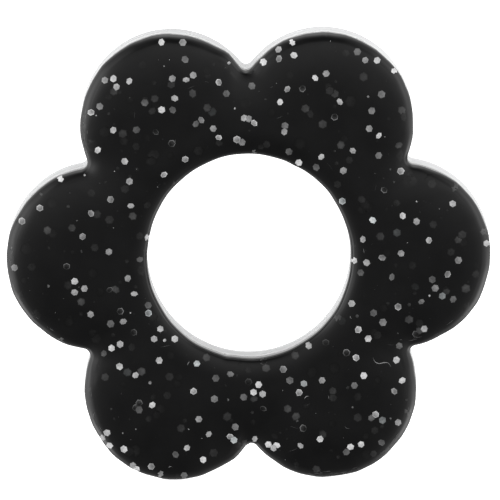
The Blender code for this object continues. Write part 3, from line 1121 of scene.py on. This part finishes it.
def wing_section(half, thin):
    """The strip's section as (x, height above its middle layer), with bevelled corners."""
    sheet = SPRING_SHEET / 2 * thin
    bevel = (SPRING_SHEET / 2 - WING_EDGE) * thin
    across = [(half - WING_EDGE) * (-1 + 2 * column / WING_COLUMNS) for column in range(WING_COLUMNS + 1)]
    section = [(x, sheet) for x in across]
    section += [(half, bevel), (half, -bevel)]
    section += [(x, -sheet) for x in reversed(across)]
    section += [(-half, -bevel), (-half, bevel)]
    return section


def wing_mesh(hinge_y, flipped):
    """One wing with its jaw and a pressed rib, in its place about the post's axis."""
    side = -1 if flipped else 1
    loops = []
    stations = wing_path()
    for index, (out, rise, heading, travelled) in enumerate(stations):
        along = travelled - ROOT_LENGTH
        from_end = FLARE_LENGTH - RIB_END_GAP - along
        rib = RIB_HEIGHT * smooth_step(along / RIB_EASE) * smooth_step(from_end / RIB_EASE)
        thin = TIP_THINNESS if index in (0, len(stations) - 1) else 1.0
        loop = []
        for x, off in wing_section(wing_half_width(travelled), thin):
            lift = off + rib * math.exp(-(x / RIB_HALF_WIDTH) ** 2)
            y = hinge_y + rise + math.cos(heading) * lift
            z = LIP_OFFSET + out - math.sin(heading) * lift
            loop.append((side * x, y, side * z))
        loops.append(loop)
    bm = bmesh.new()
    skin(bm, loops, False)
    return bm


# -------- the pin


def build_front(rng):
    """Plate, ground, resin, glitter and marks."""
    glitter = flake_material()
    fronts = (
        ("fine_plate", plate_mesh(rng), acrylic_material(), "pale_acrylic", "base_plate"),
        ("fine_ground", ground_mesh(), ground_material(), "black_ground", "black_ground"),
        ("fine_resin", resin_mesh(), resin_material(), "glitter_resin", "glitter_resin"),
        ("glitter_flakes", flakes_mesh(rng), glitter, "glitter_resin", None),
        ("gloss_marks", marks_mesh(rng), glitter, "glitter_resin", None),
    )
    for name, bm, material, slot, replaced in fronts:
        finished_piece(name, bm, material, "badge", replaced, TALLNESS)


def build_hardware(rng):
    """Posts and clutches, the same on both sides."""
    glue = glue_material()
    steel = metal_material("plated steel", (0.50, 0.50, 0.51), (0.66, 0.66, 0.67), (0.2, 0.36), (1, 0.2, 1))
    nickel = metal_material("nickel plate", (0.55, 0.54, 0.52), (0.72, 0.71, 0.69), (0.14, 0.3), (1, 0.3, 1))
    spring = metal_material(
        "spring plate metal", (0.52, 0.51, 0.49), (0.70, 0.69, 0.67), (0.18, 0.34), (0.25, 1, 1))
    for side in ("left", "right"):
        x, z, turn = side_place(side)
        fine = "fine_" + side

        def add(suffix, bm, material, body):
            finished_piece(fine + suffix, placed(bm, x, z, turn), material, body, side + suffix)

        add("_pad_glue", glue_mesh(rng), glue, "badge")
        add("_pad", pad_mesh(), steel, "badge")
        add("_post", post_mesh(), steel, "badge")
        add("_clutch_cap", cap_mesh(), nickel, side + "_cap")
        add("_spring_plate", spring_plate_mesh(), spring, side + "_spring")
        hinge_y = box_y(side + "_spring_plate")[1] + HINGE_ABOVE_LIP
        add("_wing_upper", wing_mesh(hinge_y, False), spring, side + "_upper_wing")
        add("_wing_lower", wing_mesh(hinge_y, True), spring, side + "_lower_wing")


# -------- stage, light and camera


# The floor lies this far under the CAD box, so that the resin's lowest petals stay above it.
FLOOR_GAP = 0.04


def add_floor():
    """A plain, shadowless white floor, which lights nothing itself."""
    low = cad_box[0]
    reach = 4000.0 * MM
    floor_z = low[2] - FLOOR_GAP * MM
    mesh = bpy.data.meshes.new("floor")
    corners = [(-reach, -reach), (reach, -reach), (reach, reach), (-reach, reach)]
    mesh.from_pydata([(x, y, floor_z) for x, y in corners], [], [(0, 1, 2, 3)])
    floor = bpy.data.objects.new("floor", mesh)
    bpy.context.scene.collection.objects.link(floor)
    white = new_material("white sweep", (0.9, 0.9, 0.9), 0.8,
                         (("Emission Color", WHITE), ("Emission Strength", 0.97)))
    mesh.materials.append(white)
    for ray in ("diffuse", "glossy", "transmission", "shadow"):
        setattr(floor, "visible_" + ray, False)


# Soft boxes as (name, azimuth and elevation of the middle, strength, softness), with angles in degrees.
# Azimuth 0 is the camera's side, -90 the flower's left and 180 behind it. A box has faded to about 60% at its
# softness away from its middle.
SOFT_BOXES = (
    ("left", -71.0, 5.0, 2.58, 25.0),
    ("right", 73.0, 19.0, 1.78, 22.5),
    ("left glow", -28.0, 5.0, 0.85, 7.8),
    ("right glow", 38.5, -20.0, 0.57, 15.0),
    ("high left", -38.0, 25.0, 0.34, 8.0),
    ("high right", 22.0, 14.0, 0.57, 11.5),
    ("low left", -94.0, -37.0, 2.54, 11.5),
    ("low right", 88.5, -33.0, 2.86, 15.7),
    ("overhead", 180.0, 80.5, 1.90, 15.8),
    ("table bounce", 180.0, -86.0, 0.36, 34.0),
    ("front card", -2.0, 10.0, 0.34, 10.0),
)
ROOM_LIGHT = 0.02
# The backdrop fades in over a range of the direction's Y, and to a share of itself over a range of Z, below.
BACKDROP_LIGHT = 0.95
BACKDROP_EDGE = (-0.1, 0.5)
BACKDROP_FOOT = (-0.95, -0.15)
BACKDROP_FOOT_SHARE = 0.3
WHITE = (1.0, 1.0, 1.0, 1.0)


def direction_to(azimuth, elevation):
    """A unit vector towards a light."""
    around = math.radians(azimuth)
    up = math.radians(elevation)
    return math.sin(around) * math.cos(up), -math.cos(around) * math.cos(up), math.sin(up)


def add_light():
    """A soft studio: broad boxes on both sides and overhead, and a bright backdrop behind the pin."""
    world = bpy.data.worlds.new("soft studio")
    bpy.context.scene.world = world
    world.use_nodes = True
    world.node_tree.nodes.clear()

    def maths(operation, a, b=None):
        """One math node. An input is a number or another node's output."""
        step = node(world, "ShaderNodeMath", operation=operation)
        for socket, value in zip(step.inputs, (a, b)):
            if isinstance(value, (int, float)):
                socket.default_value = value
            elif value is not None:
                link(world, value, socket)
        return step.outputs[0]

    towards = node(world, "ShaderNodeTexCoord").outputs["Generated"]
    split = node(world, "ShaderNodeSeparateXYZ")
    link(world, towards, split.inputs[0])
    behind = spread(world, split.outputs["Y"], 0.0, BACKDROP_LIGHT, *BACKDROP_EDGE, "SMOOTHSTEP")
    not_below = spread(world, split.outputs["Z"], BACKDROP_FOOT_SHARE, 1.0, *BACKDROP_FOOT, "SMOOTHSTEP")
    total = maths("ADD", maths("MULTIPLY", behind, not_below), ROOM_LIGHT)
    for label, azimuth, elevation, strength, softness in SOFT_BOXES:
        facing = node(world, "ShaderNodeVectorMath", operation="DOT_PRODUCT", label=label)
        link(world, towards, facing.inputs[0])
        facing.inputs[1].default_value = direction_to(azimuth, elevation)
        short_of_middle = maths("SUBTRACT", facing.outputs["Value"], 1.0)
        falloff = maths("EXPONENT", maths("MULTIPLY", short_of_middle, 1 / math.radians(softness) ** 2))
        total = maths("ADD", total, maths("MULTIPLY", falloff, strength))

    studio = node(world, "ShaderNodeBackground")
    studio.inputs["Color"].default_value = WHITE
    link(world, total, studio.inputs["Strength"])
    white = node(world, "ShaderNodeBackground")
    white.inputs["Color"].default_value = WHITE
    seen = node(world, "ShaderNodeLightPath")
    mixed = node(world, "ShaderNodeMixShader")
    link(world, seen.outputs["Is Camera Ray"], mixed.inputs["Fac"])
    link(world, studio.outputs["Background"], mixed.inputs[1])
    link(world, white.outputs["Background"], mixed.inputs[2])
    link(world, mixed.outputs["Shader"], node(world, "ShaderNodeOutputWorld").inputs["Surface"])


def add_camera():
    """The camera, aimed so that the flower sits in the picture as it should."""
    data = bpy.data.cameras.new("camera")
    data.sensor_width = SENSOR
    data.lens = SENSOR * CAMERA_DISTANCE / VIEW_WIDTH
    data.clip_start = 0.01
    data.clip_end = 20.0
    camera = bpy.data.objects.new("camera", data)
    bpy.context.scene.collection.objects.link(camera)
    back = Vector((0.0, -math.cos(CAMERA_ELEVATION), math.sin(CAMERA_ELEVATION)))
    up = Vector((0.0, math.sin(CAMERA_ELEVATION), math.cos(CAMERA_ELEVATION)))
    face_middle = Vector((0.0, (RESIN_BACK_Y + RESIN_FRONT_Y) / 2, 0.0))
    aim = face_middle + Vector((AIM_RIGHT, 0.0, 0.0)) + up * AIM_UP
    turn = (-back).to_track_quat("-Z", "Y").to_matrix().to_4x4()
    place = Matrix.Translation((aim + back * CAMERA_DISTANCE) * MM)
    camera.matrix_world = place @ turn @ Matrix.Rotation(CAMERA_ROLL, 4, "Z")
    bpy.context.scene.camera = camera
    bpy.context.scene.view_settings.view_transform = "Standard"


build_front(random.Random(11))
build_hardware(random.Random(5))
add_floor()
add_light()
add_camera()
